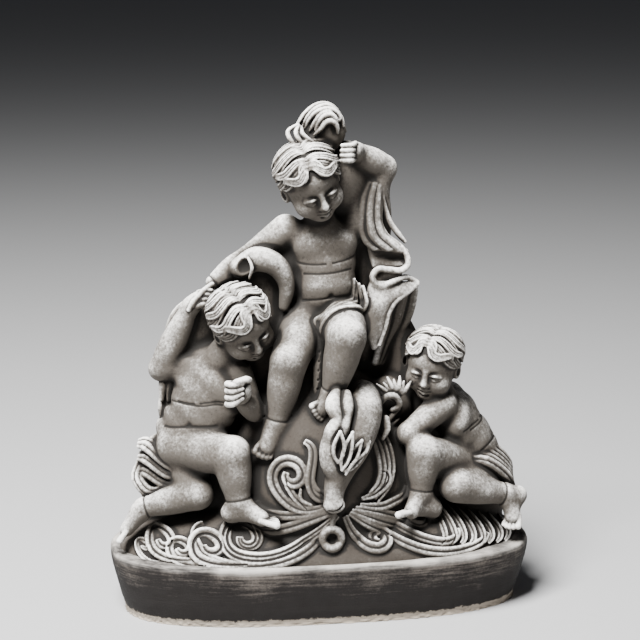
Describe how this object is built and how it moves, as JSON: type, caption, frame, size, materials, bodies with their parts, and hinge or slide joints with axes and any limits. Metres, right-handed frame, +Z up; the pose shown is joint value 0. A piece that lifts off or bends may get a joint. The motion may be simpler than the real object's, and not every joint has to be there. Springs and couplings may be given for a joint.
{
  "type": "angel statue",
  "caption": "Cast-stone garden statue of winged children round a dolphin among waves, on a boat-shaped plinth with a flat underside.",
  "frame": {"origin": "on the ground, under the middle of the plinth", "axes": "+Z up, the front of the group looks along -Y, +X to the viewer's right"},
  "size_m": [0.3458, 0.1601, 0.411],
  "materials": {
    "cast_stone": "weathered, dark in the hollows and pale on the worn high places"
  },
  "bodies": {
    "root": {"angel_group": "cast_stone"}
  },
  "joints": []
}
